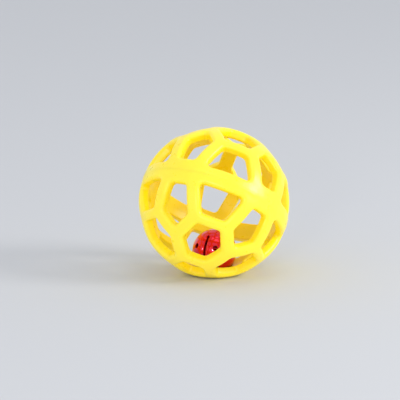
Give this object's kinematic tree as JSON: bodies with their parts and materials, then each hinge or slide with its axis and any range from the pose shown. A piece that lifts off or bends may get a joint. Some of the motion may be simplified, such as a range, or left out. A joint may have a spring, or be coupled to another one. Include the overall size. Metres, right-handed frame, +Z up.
{
  "type": "dog toy ball",
  "caption": "Hollow springy rubber ball with an open lattice wall and a loose round metal jingle bell rolling inside it",
  "frame": {"origin": "on the surface that the ball stands on, straight below the centre of the ball", "axes": "+Z is up; +Y is the side towards which the pole of the upper half leans; +X is to the right of that, along the seam"},
  "size_m": [0.09, 0.0892, 0.0877],
  "materials": {
    "yellow_rubber": "satin",
    "red_metal": "gloss",
    "steel": "satin"
  },
  "bodies": {
    "ball": {"lower_half_shell": "yellow_rubber", "upper_half_shell": "yellow_rubber"},
    "bell": {"bell_slotted_cup": "red_metal", "bell_crown_cup": "red_metal", "bell_eye": "red_metal"},
    "pellet": {"bell_pellet": "steel"}
  },
  "joints": [
    {"name": "bell_drop", "type": "slide", "parent": "ball", "child": "bell", "axis": [0, 0, 1], "range_m": [0, 0.055]},
    {"name": "pellet_roll", "type": "hinge", "parent": "bell", "child": "pellet", "pos_m": [0, 0, 0.01342], "axis": [-0.0568, 0.9849, 0.1633], "continuous": true}
  ]
}
